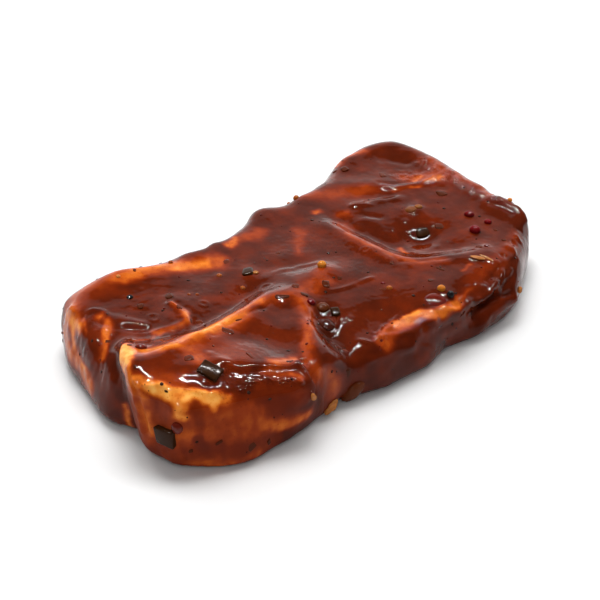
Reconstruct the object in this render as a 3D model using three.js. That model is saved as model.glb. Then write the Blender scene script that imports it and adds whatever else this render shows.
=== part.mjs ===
// A marinated pork neck steak: one thick boneless slice, split at its left end into two lobes that a
// seam of fat joins, lying flat on a surface. Millimetres, +X along the slice towards its broad end,
// +Y away from the thick front lobe, +Z up. The steak lies on z = 0, and its box is centred on X and Y.

import * as THREE from "three";
import { mergeVertices } from "three/addons/utils/BufferGeometryUtils.js";

const { clamp, lerp, smoothstep } = THREE.MathUtils;

// Driving sizes.
const LENGTH = 152; // straight block that the slice is shaped from
const WIDTH = 76;
const THICKNESS = 16.6; // of the flat middle, without the lobes
const LOBE_ROUND = 3.6; // the crisp edge between the top and the walls of the lobes
const BODY_ROUND = 6; // the softer edge round the broad end
const FOOT_ROUND = 3; // the edge at the surface
const WALL_BULGE = 0.8; // how far the walls belly out at half height

// Rows of faces along the length, the width and the thickness.
const ROWS = { x: 50, y: 28, z: 7 };

// The four sides seen from above, each as [place along the side, distance from the middle],
// once for the top edge and once for the foot, because the walls lean.
const FRONT_TOP = [
  [-73, -31], [-66, -37], [-58, -39.5], [-50, -40.5], [-41, -43], [-34, -46], [-30, -46],
  [-26, -43.8], [-20, -42], [-13, -40], [-6, -40], [3, -40.2], [12, -38.5], [21, -38], [30, -36.5],
  [40, -34.5], [54, -33], [62, -30.5], [69, -24], [77, -18],
];
const FRONT_FOOT = [
  [-73, -31], [-63, -37.5], [-56, -43.5], [-49, -46.8], [-39, -46.5], [-28, -44.2], [-19, -41],
  [-13, -38.6], [-6, -40.8], [8, -41], [25, -40.2], [38, -41], [48, -39], [57, -35.3], [65, -28],
  [77, -19],
];
const BACK = [
  [-64, 33], [-53, 34.5], [-42, 33], [-30, 30.5], [-22.5, 28.5], [-19, 25.8], [-15.5, 28.2],
  [-11, 28], [-6, 29.8], [1, 33], [6, 37], [10, 37], [15.5, 35.2], [25.5, 36.5], [38, 40.5], [48, 46], [57, 49], [67, 50], [77, 47.5],
];
const LEFT_TOP = [
  [-31, -71], [-26, -74.6], [-22, -75.6], [-18, -74.2], [-12, -71.5], [-7, -69], [-3, -67], [0, -66],
  [13, -65.5], [22, -63], [33, -60.5],
];
const LEFT_FOOT = [
  [-31, -71], [-26, -72.5], [-20, -71], [-17, -70], [-12, -71.3], [-7, -73.2], [-2, -73.2],
  [4, -72.2], [12, -70.3], [22, -67], [33, -61],
];
const RIGHT = [
  [-19, 71.3], [-12, 75.6], [-7, 77.3], [-3, 75.5], [7, 76], [16, 76.2], [27, 77], [36, 77], [47, 74],
];

// Broad swellings and hollows of the top, each a smooth mound with its centre, half-widths and height.
const MOUNDS = [
  { at: [-62, -26], half: [38, 17], height: 7.2 }, // front lobe
  { at: [-68, 7], half: [30, 16], height: 5 }, // rear lobe at the split end
  { at: [-20, 5], half: [45, 30], height: 1.5 }, // middle
  { at: [-58, 33], half: [12, 8], height: -2 }, // back corner of the rear lobe
  { at: [42, -3], half: [9, 7], height: -2.6 }, // sunken hollow of the broad end
  { at: [72, -20], half: [20, 16], height: -1.6 }, // worn-down right corner
  { at: [2, -33], half: [13, 8], height: -2.4 }, // scooped slope above the front wall
];

// Ridges and furrows drawn along a path over the top.
const STROKES = [
  { path: [[-74, -19], [-58, -17], [-45, -16], [-32, -12.5], [-19, -8], [2, -8]], height: 2.6, width: 5 },
  { path: [[-73, -13], [-68, -7]], height: 4, width: 5 }, // inner corner of the front lobe
  { path: [[-68, 1], [-60, -2], [-45, -7], [-33, -5], [-18, 0]], height: -1.8, width: 3.8 }, // seam
  { path: [[-60, -28], [-50, -31], [-42, -35], [-33, -40]], height: 1.2, width: 4 }, // front rim
  { path: [[-38, -20], [-27, -25]], height: -1.2, width: 6 }, // hollow behind the front rim
  { path: [[-12, -13], [-14, -18], [-19, -29], [-25, -40]], height: 1.6, width: 3.5 }, // fat band
  { path: [[-11, -23], [-13, -31], [-13.5, -38], [-12, -44]], height: -3.4, width: 3.8 }, // front notch
  { path: [[22, 17], [24, 5], [25, -7], [28, -13.5], [34, -16.5], [50, -24]], height: 1.3, width: 3.4 },
  { path: [[27, 17], [29, 4], [31, -5], [35, -11.5], [46, -16]], height: -1.5, width: 3.6 }, // fold
  { path: [[43, 30], [49, 26], [54, 20], [60, 18], [68, 17]], height: 1.2, width: 3 }, // far ridge
  { path: [[52, 44], [62, 45], [70, 42], [73, 33], [73, 8]], height: 1.6, width: 4 }, // far rim
  { path: [[72, -3], [73, -10], [73, -16]], height: 2, width: 3.4 }, // right lip
  { path: [[-54, 29], [-38, 27], [-28, 25], [-20, 21]], height: 0.8, width: 3.5 }, // back rim
  { path: [[-54, 20], [-42, 17]], height: -1, width: 6 }, // hollow of the rear lobe
  { path: [[-22, 27], [-20, 25]], height: 1.4, width: 3 }, // knobs along the back edge
  { path: [[-16, 26], [-13, 27]], height: 1.4, width: 3 },
  { path: [[9, 33], [12, 34]], height: 1, width: 3 },
  { path: [[25, 34], [27, 35]], height: 1.2, width: 3 },
];

// Folds of the walls, drawn in [place along the wall, height] and pushed in or out.
const LEFT_FOLDS = [
  { path: [[0, 26], [-4, 21], [-11, 16], [-15, 10], [-17, 4], [-17.5, 0]], height: -2.6, width: 2.8 },
  { path: [[8, 16], [2, 10], [-4, 5], [-10, 2]], height: 1, width: 4 }, // swollen edge of the rear lobe
];
const FRONT_FOLDS = [
  { path: [[-31, 20], [-31.5, 15], [-31, 9]], height: 1.4, width: 3 }, // edge of the front flap
  { path: [[-24, 18], [-25, 10], [-26, 3]], height: -1.2, width: 3 }, // gap behind it
  { path: [[34, 2.5], [42, 6], [51, 8.5]], height: 1.8, width: 2.6 }, // curled strip
  { path: [[36, 9], [46, 12]], height: -1, width: 2.4 }, // gap above it
];

// A smooth curve through the stations of one side.
function side(stations) {
  const curve = new THREE.CubicInterpolant(
    stations.map((station) => station[0]),
    stations.map((station) => station[1]),
    1,
  );
  return (place) => curve.evaluate(place)[0];
}

const frontTop = side(FRONT_TOP);
const frontFoot = side(FRONT_FOOT);
const back = side(BACK);
const leftTop = side(LEFT_TOP);
const leftFoot = side(LEFT_FOOT);
const right = side(RIGHT);

// How far a point lies from a path of straight stretches.
function distanceTo(path, a, b) {
  let nearest = Infinity;
  for (let i = 1; i < path.length; i++) {
    const [a0, b0] = path[i - 1];
    const [da, db] = [path[i][0] - a0, path[i][1] - b0];
    const along = clamp(((a - a0) * da + (b - b0) * db) / (da * da + db * db), 0, 1);
    nearest = Math.min(nearest, Math.hypot(a - a0 - along * da, b - b0 - along * db));
  }
  return nearest;
}

// The summed height of soft strokes at one point.
function relief(strokes, a, b) {
  return strokes.reduce(
    (sum, stroke) => sum + stroke.height * Math.exp(-((distanceTo(stroke.path, a, b) / stroke.width) ** 2)),
    0,
  );
}

// Height of the top above the surface.
function topHeight(x, y) {
  const mounds = MOUNDS.reduce((sum, { at, half, height }) => {
    const reach = ((x - at[0]) / half[0]) ** 2 + ((y - at[1]) / half[1]) ** 2;
    return sum + height * Math.exp(-reach);
  }, 0);
  return THICKNESS + mounds + relief(STROKES, x, y);
}

// Rounds the edges of the straight block: gives the moved point and the way its face looks.
function roundBlock(point) {
  const level = point.z / THICKNESS;
  const topRound = lerp(LOBE_ROUND, BODY_ROUND, smoothstep(point.x, -LENGTH / 4, LENGTH / 8));
  const round = lerp(FOOT_ROUND, topRound, smoothstep(level, 0.25, 0.7));
  const core = new THREE.Vector3(
    clamp(point.x, -LENGTH / 2 + round, LENGTH / 2 - round),
    clamp(point.y, -WIDTH / 2 + round, WIDTH / 2 - round),
    clamp(point.z, round, THICKNESS - round),
  );
  const facing = point.clone().sub(core).normalize();
  return { moved: core.addScaledVector(facing, round), facing };
}

// Bends the rounded block to the outline of the slice and raises its top.
function shape(point) {
  const { moved, facing } = roundBlock(point);
  const across = moved.x / LENGTH + 0.5;
  const deep = moved.y / WIDTH + 0.5;
  const level = moved.z / THICKNESS;
  const placeX = lerp(leftTop(0), right(0), across);
  const front = lerp(frontFoot(placeX), frontTop(placeX), level);
  const y = lerp(front, back(placeX), deep);
  const left = lerp(leftFoot(y), leftTop(y), level);
  const x = lerp(left, right(y), across);
  const z = level * topHeight(x, y);

  const folds =
    Math.max(0, -facing.x) * relief(LEFT_FOLDS, y, z) + Math.max(0, -facing.y) * relief(FRONT_FOLDS, x, z);
  const out = WALL_BULGE * Math.sin(Math.PI * level) * Math.hypot(facing.x, facing.y) + folds;
  const sideways = new THREE.Vector2(facing.x, facing.y).normalize().multiplyScalar(out);
  return point.set(x + sideways.x, y + sideways.y, z);
}

function steakGeometry() {
  const block = new THREE.BoxGeometry(LENGTH, WIDTH, THICKNESS, ROWS.x, ROWS.y, ROWS.z);
  block.translate(0, 0, THICKNESS / 2);
  block.deleteAttribute("normal");
  block.deleteAttribute("uv");
  const geometry = mergeVertices(block);
  const corners = geometry.getAttribute("position");
  const point = new THREE.Vector3();
  for (let i = 0; i < corners.count; i++) {
    shape(point.fromBufferAttribute(corners, i));
    corners.setXYZ(i, point.x, point.y, point.z);
  }
  geometry.computeBoundingBox();
  const middle = geometry.boundingBox.getCenter(new THREE.Vector3());
  geometry.translate(-middle.x, -middle.y, -geometry.boundingBox.min.z);
  geometry.computeVertexNormals();
  return geometry;
}

const marinatedMeat = new THREE.MeshStandardMaterial({ color: "#7a2c14", roughness: 0.22, metalness: 0 });

const steak = new THREE.Mesh(steakGeometry(), marinatedMeat);
steak.name = "steak";

const part = new THREE.Group();
part.add(steak);

export default part;
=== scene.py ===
import math
import random

import bmesh
import bpy
import numpy as np
from mathutils import Matrix, Vector, noise


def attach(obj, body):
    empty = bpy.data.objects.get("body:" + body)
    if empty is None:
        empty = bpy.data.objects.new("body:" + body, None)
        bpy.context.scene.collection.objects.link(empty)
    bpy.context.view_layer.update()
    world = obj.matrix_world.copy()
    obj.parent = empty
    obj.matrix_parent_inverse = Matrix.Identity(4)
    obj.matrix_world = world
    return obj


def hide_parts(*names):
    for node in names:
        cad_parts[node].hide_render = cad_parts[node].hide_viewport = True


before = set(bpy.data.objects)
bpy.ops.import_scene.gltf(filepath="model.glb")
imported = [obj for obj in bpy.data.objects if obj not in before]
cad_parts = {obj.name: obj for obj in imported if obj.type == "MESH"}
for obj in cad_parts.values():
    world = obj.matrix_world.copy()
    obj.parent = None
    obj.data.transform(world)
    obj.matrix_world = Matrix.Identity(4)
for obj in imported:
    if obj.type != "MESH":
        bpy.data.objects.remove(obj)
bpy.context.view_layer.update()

# The slice. One piece of pork neck, muscle and fat, lying on its cut face. The solid's mesh is merged,
# rounded once and cut finer, and its points are then pushed along their normals for folds, fibres and
# the skin of marinade, by 2.4 mm at most.
MM = 0.001
scene = bpy.context.scene


def settled(piece):
    """Applies the piece's modifiers to its mesh."""
    mesh = bpy.data.meshes.new_from_object(
        piece.evaluated_get(bpy.context.evaluated_depsgraph_get())
    )
    piece.modifiers.clear()
    piece.data = mesh


slice_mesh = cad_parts["steak"].data.copy()
steak = bpy.data.objects.new("marinated_slice", slice_mesh)
scene.collection.objects.link(steak)
bm = bmesh.new()
bm.from_mesh(slice_mesh)
bmesh.ops.remove_doubles(bm, verts=bm.verts, dist=1e-6)
bmesh.ops.join_triangles(
    bm, faces=bm.faces, angle_face_threshold=math.pi, angle_shape_threshold=math.pi
)
bm.to_mesh(slice_mesh)
bm.free()
rounding = steak.modifiers.new("rounding", "SUBSURF")
rounding.levels = rounding.render_levels = 1
settled(steak)


def offset(path, at):
    """How each point lies from the nearest place on a path of straight stretches."""
    corners = [np.array(corner, float) for corner in path]
    nearest = np.full_like(at, 1e3)
    for start, end in zip(corners, corners[1:] or corners):
        run = end - start
        along = np.clip((at - start) @ run / max(run @ run, 1e-9), 0, 1)
        gap = at - start - along[:, None] * run
        closer = (gap * gap).sum(1) < (nearest * nearest).sum(1)
        nearest[closer] = gap[closer]
    return nearest


def distance(path, at):
    """How far each point lies from a path."""
    return np.linalg.norm(offset(path, at), axis=1)


# Cuts in an edge: two all over the top and front, one in the back walls and none in the underside.
FRONT_LEFT = Vector((-0.616, -0.788, 0))
BACK_WALL = -0.6
UNDERSIDE = -0.9
bm = bmesh.new()
bm.from_mesh(steak.data)
bm.normal_update()
front_edges = []
back_edges = []
for edge in bm.edges:
    sides = [f.normal.dot(FRONT_LEFT) for f in edge.link_faces if f.normal.z > UNDERSIDE]
    if sides:
        (front_edges if max(sides) >= BACK_WALL else back_edges).append(edge)
bmesh.ops.subdivide_edges(bm, edges=front_edges, cuts=2, use_grid_fill=True)
bmesh.ops.subdivide_edges(
    bm, edges=[e for e in back_edges if e.is_valid], cuts=1, use_grid_fill=True
)
# Places with fine relief, whose edges are cut once more: reach and middle line.
SPOTS = [
    (5.2, [(-12.8, -26.6, 15.4), (-14.6, -33, 14.6)]),
    (4.4, [(-57.6, -34.6, 23.4)]),
    (2.2, [(-74, -27.4, 23.4), (-71.4, -31.4, 23)]),
    (2.4, [(-60.5, -40.1, 20.5), (-53.2, -41.8, 19.5), (-47.4, -41, 20.2), (-36.4, -46, 18)]),
    (2, [(-4, -40.6, 14.8), (-2, -37, 15), (1, -35.2, 14.8), (8, -34.6, 15.2)]),
]
places = np.array([v.co for v in bm.verts]) / MM
bm.verts.index_update()
fine = np.any([distance(path, places) < reach for reach, path in SPOTS], axis=0)
fine_edges = [e for e in bm.edges if fine[e.verts[0].index] and fine[e.verts[1].index]]
bmesh.ops.subdivide_edges(bm, edges=fine_edges, cuts=1, use_grid_fill=True)
for _ in range(2):
    bmesh.ops.smooth_vert(
        bm, verts=[v for v in bm.verts if v.co.z > MM], factor=0.5,
        use_axis_x=True, use_axis_y=True, use_axis_z=True,
    )
bmesh.ops.triangulate(bm, faces=[f for f in bm.faces if len(f.verts) > 4])
bm.to_mesh(steak.data)
bm.free()

count = len(steak.data.vertices)
points = np.empty(count * 3)
normals = np.empty(count * 3)
ends = np.empty(len(steak.data.edges) * 2, np.int64)
steak.data.vertices.foreach_get("co", points)
steak.data.vertex_normals.foreach_get("vector", normals)
steak.data.edges.foreach_get("vertices", ends)
points = points.reshape(-1, 3) / MM
normals = normals.reshape(-1, 3)
ends = ends.reshape(-1, 2).T
links = np.bincount(ends.ravel(), minlength=count)


NOISE_SEED = 4  # without a seed, each run would make another slice
noise.seed_set(NOISE_SEED)


def grain(size, seed, at=points, stretch=(1, 1, 1)):
    """Soft noise from -1 to 1, with lumps of that size."""
    scaled = at / (np.array(stretch) * size) + 17.3 * seed
    return np.array([noise.noise(place) for place in scaled.tolist()])


def wander(size, reach, seed, at=points):
    """The points, each moved up to that reach by soft noise, so that drawn edges run unevenly."""
    moves = [noise.noise_vector(place) for place in (at / size + 17.3 * seed).tolist()]
    return at + reach * np.array(moves)


def spread(values, times):
    """Averages a field with its neighbours that many times."""
    for _ in range(times):
        total = sum(
            np.bincount(ends[side], values[ends[1 - side]], count) for side in (0, 1)
        )
        values = (values + total / links) / 2
    return values


def near(path):
    """How far each point of the slice lies from a path."""
    return distance(path, points)


def ease(share):
    """0 to 1 with soft ends."""
    share = np.clip(share, 0, 1)
    return share * share * (3 - 2 * share)


# Folds and edges: height and half-width in millimetres, then the path that they follow.
FOLDS = [
    # rear lobe
    (0.9, 1.3, [(-43.4, 3.4, 20.3), (-43.5, 0.8, 20.3), (-43.8, -2.6, 20.1), (-45.2, -5.4, 19.5),
                (-49, -6.3, 19.4)]),
    (-0.5, 1.2, [(-41.4, 3.4, 20), (-41.3, 0.5, 19.8), (-41.6, -3.2, 19.4), (-43.2, -7.2, 19)]),
    (0.45, 0.9, [(-49, -6.3, 19.4), (-52.5, -5.6, 19.5), (-55.6, -4.6, 19.8), (-60, -2.6, 20.6)]),
    (-0.7, 0.9, [(-65.3, 15, 18.9), (-65.4, 8, 20.6), (-64, 2, 20.6), (-60, -1.4, 20.6),
                 (-55.8, -3.7, 20)]),
    (0.5, 1.5, [(-62.8, 14.5, 20), (-62.4, 7.6, 21.8), (-60.5, 2.6, 21.8), (-56.5, -0.8, 21)]),
    (0.8, 1.3, [(-63.4, 22.5, 16), (-63.6, 20.5, 16.8)]),
    (0.6, 1.1, [(-65.2, 13.4, 19.3), (-65.6, 11.4, 20)]),
    (0.5, 1, [(-65.6, 3.6, 21)]),
    # ridge between the lobes and the corner of the front lobe
    (0.45, 1.1, [(-61, -19.2, 25.4), (-54.8, -20.6, 25.2), (-49.8, -18.7, 24.7), (-43, -16.4, 23.4)]),
    (0.1, 1.4, [(-36, -14.6, 22.5), (-27, -10.9, 21.3), (-20.6, -10.5, 21), (-15.8, -11.4, 21)]),
    (-0.4, 0.9, [(-47, -20.5, 24), (-40, -17.4, 22.6), (-31, -15.8, 21.8), (-22, -13.6, 21)]),
    (0.5, 1, [(-74.8, -20.4, 24.2), (-76.2, -25, 21.6), (-76.4, -27, 16.4), (-75.6, -27.4, 8.4)]),
    (-0.6, 0.8, [(-75.4, -21.8, 24), (-76.2, -26.8, 21), (-76.1, -28.6, 16.8), (-75.4, -29.6, 10)]),
    (0.4, 0.8, [(-75.2, -24, 23.6), (-75.6, -29.4, 20.4), (-75, -31.2, 15), (-74.6, -31, 9)]),
    # front lobe: rolled top edge, crest and the flap over the notch
    (0.4, 1.6, [(-53.6, -27.6, 24.2), (-52.2, -32.2, 24.2), (-46.9, -36, 22.7), (-39.8, -38.7, 21.1),
                (-33.6, -41, 19.9)]),
    (-0.35, 1.2, [(-51.4, -36.4, 22.9), (-45.6, -38.6, 21.7), (-39.4, -41, 20.4), (-35, -43.4, 19)]),
    (0.5, 0.45, [(-53.2, -41.8, 19.5), (-50.9, -41.3, 20.2), (-49.1, -40.8, 20.4), (-47.4, -41.5, 20.1)]),
    (0.5, 0.45, [(-45.5, -40.4, 20.6), (-44.6, -41.8, 20), (-43.6, -43.2, 19.4), (-41.3, -43.6, 19.2),
                 (-40.1, -43.9, 19.2)]),
    (0.4, 0.5, [(-74.2, -26.9, 23.6), (-73.4, -28.4, 23.4), (-72.2, -29.9, 23.4), (-71.1, -31.5, 23.2)]),
    (0.3, 1.2, [(-38.9, -44.4, 19), (-35.5, -46.3, 17.9)]),
    (0.6, 0.9, [(-33.4, -41, 19.8), (-33.4, -43.8, 19.2), (-33.2, -46, 17.8), (-33.6, -48, 14)]),
    (-1.2, 0.9, [(-31.6, -40.6, 19.7), (-31.5, -43.4, 19.1), (-31.3, -45.8, 17), (-31.6, -47, 12.6)]),
    (0.5, 1, [(-73, -28.6, 23.4), (-68.5, -33.8, 23), (-62, -38.2, 21.7), (-57.4, -40, 21)]),
    # broad end
    (-0.3, 0.9, [(23.9, -9.6, 17.7), (24.6, -14.6, 17.6), (27.6, -17.4, 17.5), (33, -19.8, 17.4),
                 (37.4, -21.8, 17.4)]),
    (0.5, 0.8, [(41.8, -25.6, 17.2), (43.7, -27.6, 16.9), (47.2, -30.2, 16.3)]),
    (0.6, 1.8, [(35.1, 18.3, 16.8), (40.6, 15.5, 16.8), (46.6, 13.2, 16.7), (50.5, 13.1, 16.8)]),
    (0.3, 0.8, [(33.2, 18.9, 16.9), (36.2, 17.2, 16.8), (39.5, 14.1, 16.8)]),
    (-0.4, 1.4, [(32.4, 13.6, 16.9), (34.8, 10.9, 16.9), (36.8, 8, 16.8)]),
    (0.5, 1, [(48, 21.5, 17.4), (50.9, 18.3, 17.5), (54.4, 16.3, 17.5), (58.2, 15.3, 17.7),
              (64, 15.6, 17.6)]),
    (-0.5, 1.1, [(49, 24, 17), (52.4, 20.6, 17), (56, 18.6, 17.2), (61, 18, 17.3)]),
    (-0.5, 1.6, [(59.7, 36.4, 17.1), (65, 29, 17.2)]),
    (0.7, 1.1, [(70, -7, 17.4), (70.9, -10, 17.1), (71.6, -13, 15.8), (72, -17.2, 13.9)]),
    (-0.6, 1, [(68, -6.6, 17), (68.7, -11.8, 16.7), (69.8, -16, 15.8)]),
    # slope and notch
    (0.3, 1.3, [(-12, -16.5, 19.9), (-13.7, -20.6, 19.4), (-17.2, -26, 19.4), (-20.6, -31, 19.9),
                (-25, -35.8, 19.9)]),
    (0.5, 1, [(-3.4, -41.7, 13.6), (-1.4, -38.9, 14.8), (2.5, -36.3, 14.7), (7.3, -35.9, 15),
              (13.6, -37.1, 15.4), (19.6, -38.9, 14.4), (27.8, -37.3, 14.5), (36, -35.4, 14.8)]),
    (0.5, 0.5, [(-3.7, -40.3, 14.7), (-2.8, -38.4, 15), (-1.8, -37.2, 15), (0, -35.9, 14.9)]),
    (0.4, 0.5, [(1.7, -35.1, 14.8), (6.3, -34.7, 15), (8.2, -34.2, 15.2)]),
    (0.55, 0.45, [(-8.6, -25.1, 16.5), (-9.2, -26.7, 16.2), (-9.9, -28.5, 15.8), (-7.8, -26.7, 16.6)]),
    (0.6, 0.5, [(-15.1, -34.1, 14.5), (-15.3, -35.6, 14.4), (-15.4, -38.4, 14)]),
    (0.3, 1.4, [(-12.4, 1, 18.2), (-6.1, 1.1, 18), (-0.5, -0.2, 17.9), (4.2, -2.6, 18)]),
    (0.35, 0.9, [(-2.2, -16.2, 18.4), (3, -16.5, 17.9), (7.9, -17.3, 17.4), (12, -17, 17.2)]),
    # hanging strips on the right end and the wall before it
    (0.7, 0.8, [(69.6, -16, 15.4), (69.6, -17.4, 11), (69.4, -17.6, 6)]),
    (-0.7, 0.8, [(66.6, -20, 14.6), (67, -21, 10), (66.6, -21.6, 5)]),
    (0.7, 0.9, [(63.8, -22.4, 14.8), (63.6, -24.8, 11), (62.6, -26.4, 6)]),
    (-0.9, 0.8, [(60.4, -24.8, 15), (59.8, -27.6, 11), (58.6, -29, 6)]),
    (0.8, 1, [(56.6, -26.6, 15.4), (55.8, -30.4, 11.6), (54.4, -32.6, 7)]),
    (-0.9, 0.8, [(52.6, -29, 15.6), (51.6, -32.6, 12.4), (50, -34.8, 9)]),
    (0.6, 0.9, [(48.4, -30.6, 15.8), (46.6, -34, 13), (44, -37, 11)]),
    (-1.3, 1.1, [(32.8, -40, 8), (34.6, -39.2, 10.2), (38.4, -38.6, 10.6), (43.4, -38.4, 10.4),
                 (46.6, -39, 9.4)]),
    (0.6, 0.7, [(34.3, -39.7, 8.7), (37, -39.4, 8.8), (39.3, -39.3, 8.9), (42.3, -39, 9.3),
                (46.4, -38, 10.4)]),
    (1.1, 1.8, [(47.4, -39.4, 6.6), (42, -40.4, 6.8), (37.2, -41.4, 6.6), (34.4, -43, 4.4)]),
    # front wall of the broad end
    (1.2, 2.4, [(6, -40.6, 13.8), (14, -40.2, 13.6), (22, -40, 13.2), (32.5, -38.4, 12.8),
                (42, -36.4, 13)]),
    (0.55, 0.9, [(-8.6, -37.6, 15), (-6.6, -39.8, 15.2), (2.5, -40, 13.6), (11.7, -40, 13.3),
                 (21.2, -39.8, 13), (32.5, -38.4, 12.4), (43.6, -36.8, 12.2), (50.8, -34, 13)]),
    (0.5, 1.1, [(-9, -42, 12), (-3.8, -42.8, 11.4), (4, -42.2, 10.2), (10, -41.9, 8.6), (14, -42.1, 6)]),
    (-0.5, 1, [(16, -41.5, 10.4), (24.9, -41, 9), (30, -41.2, 6.4)]),
    (0.6, 0.8, [(38, -37.6, 12.4), (45, -34.8, 13.8), (52, -31.2, 14.6), (58, -27.6, 14.6)]),
    (-0.5, 0.8, [(40, -35.6, 14.4), (48, -32, 15.2), (56, -27.4, 15.2)]),
    (0.5, 1.2, [(1, -42.7, 10.7), (9.9, -41.6, 11.1), (17.8, -41.1, 11.3), (26.2, -40, 11.8),
                (33, -39, 11.6)]),
    (-0.6, 1.4, [(30, -41, 9.6), (35.5, -39.2, 10.4), (41.5, -38, 11.2), (46, -36.5, 12)]),
]

bent = wander(2.2, 0.3, 1, wander(7, 1.1, 15))
folds = sum(
    height * np.exp(-((distance(path, bent) / half) ** 2)) for height, half, path in FOLDS
) * (1 + 0.9 * grain(4, 16))

# Places where the top leans to the front left: the slope there, its reach and the middle line.
LEANS = [
    (0.24, 7.2, [(-29.8, -27.8, 19.3)]),
    (0.17, 8, [(43.3, -3.8, 14.6)]),
    (0.05, 8, [(-6, -28.4, 16.4), (0.4, -31, 15.5)]),
    (0.16, 5, [(-4, -36, 15.4)]),
    (0.08, 6.5, [(62.8, 32.4, 17)]),
    (0.2, 3.6, [(29.5, 8, 16.3)]),
    (0.12, 2.2, [(28.9, 3.7, 15.8)]),
    (0.08, 2.8, [(31.5, 0, 15.5), (34, -2.4, 15.5)]),
    (0.2, 4, [(-52.6, -18.6, 24.8)]),
    (0.16, 4, [(-72.5, -15, 24.2)]),
    (0.28, 4.5, [(40.5, -4.5, 14.5)]),
    (0.15, 5, [(-4, 5, 17.9), (1.6, 2.5, 17.8)]),
    (-0.12, 6, [(39, 18, 16.8), (47, 12.5, 16.8), (56, 12, 17)]),
    (-0.07, 7, [(14, -9, 17.4), (20, -20, 17), (34, -27, 16.7), (46, -30.5, 16.3)]),
    (0.3, 5.5, [(-8, -7, 19.8), (2, -8.3, 19.5)]),
]
front_left = np.array(FRONT_LEFT)
leans = 0
for slope, half, path in LEANS:
    gap = offset(path, points)
    leans = leans - slope * (gap @ front_left) * np.exp(-(gap * gap).sum(1) / half**2)

# Where the marinade stands up around a piece or a bubble: height, radius of the rise, its half-width
# and its middle. A radius of 0 is a dome.
RISES = [
    (0.35, 0, 2.2, (-57.5, -34, 23.8)),
    (0.3, 0, 2.6, (-14.3, 6.5, 18.2)),
    (0.25, 0, 1.5, (-41.1, 7.9, 19.6)),
    (0.25, 0, 1.4, (-51.9, 7.1, 21)),
    (0.35, 0, 2, (-43, -6.2, 18.9)),
    (0.25, 1.5, 0.45, (-52.3, 0.1, 21.2)),
    (0.22, 1.2, 0.45, (-35.5, -0.6, 19.4)),
    (0.25, 1.5, 0.45, (-15.5, -3.6, 18.3)),
    (0.22, 1.2, 0.4, (20.3, -4.4, 17.8)),
    (0.25, 0, 1.4, (-58.9, -26.8, 24.7)),
    (0.3, 0, 1.4, (-18, -13, 20.7)),
    (0.25, 0, 1.3, (-10.6, -14.9, 20.1)),
    (0.3, 0, 1.3, (-2.2, -13.9, 19.3)),
    (0.25, 0, 1.2, (-10.7, -10.4, 20.9)),
    (0.3, 0, 2, (2.7, -5.9, 18.8)),
    (0.3, 0, 1.8, (24.6, -33.5, 16.6)),
    (0.25, 0, 1.6, (12.9, -23.8, 17)),
    (0.25, 0, 1.6, (-22.9, 9.4, 18.5)),
    (0.25, 0, 1.6, (-20.4, 0.9, 17.7)),
    (0.3, 0, 2, (58.9, -6.4, 16.2)),
    (0.3, 0, 1.8, (60.7, -12.9, 15.7)),
    (0.35, 0, 2.2, (54.3, -14.2, 16)),
    (0.3, 0, 1.6, (50.8, -23.5, 16.5)),
    (0.5, 0, 2.6, (47.5, 5, 16.4)),
    (0.4, 0, 2, (43.4, -4.1, 14.5)),
    (0.3, 0, 1.6, (60.6, 7.9, 16.6)),
    (0.3, 0, 1.6, (46.2, 36.8, 16.8)),
    (0.25, 0, 1.6, (53.3, 27.5, 16.7)),
    (1.5, 0, 2, (-12.8, -26.6, 15.2)),
    (0.6, 2.9, 1.1, (-12.8, -26.6, 15.2)),
    (0.4, 0, 0.7, (-5, -28.6, 16.7)),
    (0.6, 0, 0.7, (-60.2, -36.4, 22.7)),
    (0.5, 0, 0.7, (-58, -36.6, 22.8)),
    (0.4, 0, 0.6, (-53.4, -35.6, 23.2)),
    (0.5, 0, 0.6, (-58.3, -40.7, 20.1)),
    (0.4, 0, 0.5, (-56.3, -41.5, 19.4)),
    (0.4, 0, 0.6, (-36.2, -46.4, 17.7)),
    (0.4, 0, 2.2, (25.6, -36.2, 15.5)),
    (0.2, 0, 0.7, (29.7, 10.8, 16.3)),
    (0.16, 0, 0.6, (28.1, 6.9, 16)),
    (0.3, 0, 1, (41.5, 2.4, 16)),
    (0.25, 0, 0.9, (47.4, -3.1, 15.3)),
    (0.25, 0, 0.9, (40.9, -12.9, 15.2)),
]
rises = sum(
    height * np.exp(-(((np.linalg.norm(points - place, axis=1) - radius) / half) ** 2))
    for height, radius, half, place in RISES
)

# Broken, grainy places: height, half-width and middle line.
GRAINY = [
    (0.7, 3.2, [(58, 23, 17), (63, 18, 17.3), (67.5, 14, 17.8)]),
    (0.7, 2.2, [(67.8, 25.4, 17.4), (68.4, 16, 18), (68.6, 4, 17.2), (69.4, -6, 17.2)]),
    (0.35, 1, [(-54, -41.5, 19.7), (-48.5, -41, 20.4), (-43.3, -42.7, 19.6), (-36.4, -46, 18.1)]),
    (0.35, 1.4, [(-63.4, 22.5, 16), (-65.3, 12.5, 19.3), (-66, 6, 20.4), (-65.6, 0.6, 20.6)]),
    (0.3, 1.2, [(-6, -39.6, 14.6), (-2, -36.5, 15), (1.7, -35.1, 14.8), (8, -35, 15.2)]),
    (0.2, 2, [(-8, -23, 17.4), (-5.4, -28, 16.8)]),
    (0.35, 2.4, [(45.4, 4.4, 16.2), (48.5, 5.4, 16.7)]),
    (0.3, 1.6, [(-45.6, -8.6, 18.8), (-52, -7, 19.4), (-59, -4.6, 20.6)]),
]
crumbled = sum(
    height * np.exp(-((near(path) / half) ** 2)) for height, half, path in GRAINY
)
grainy = crumbled * (grain(1.7, 13) + 0.25 * grain(0.8, 14))

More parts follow.
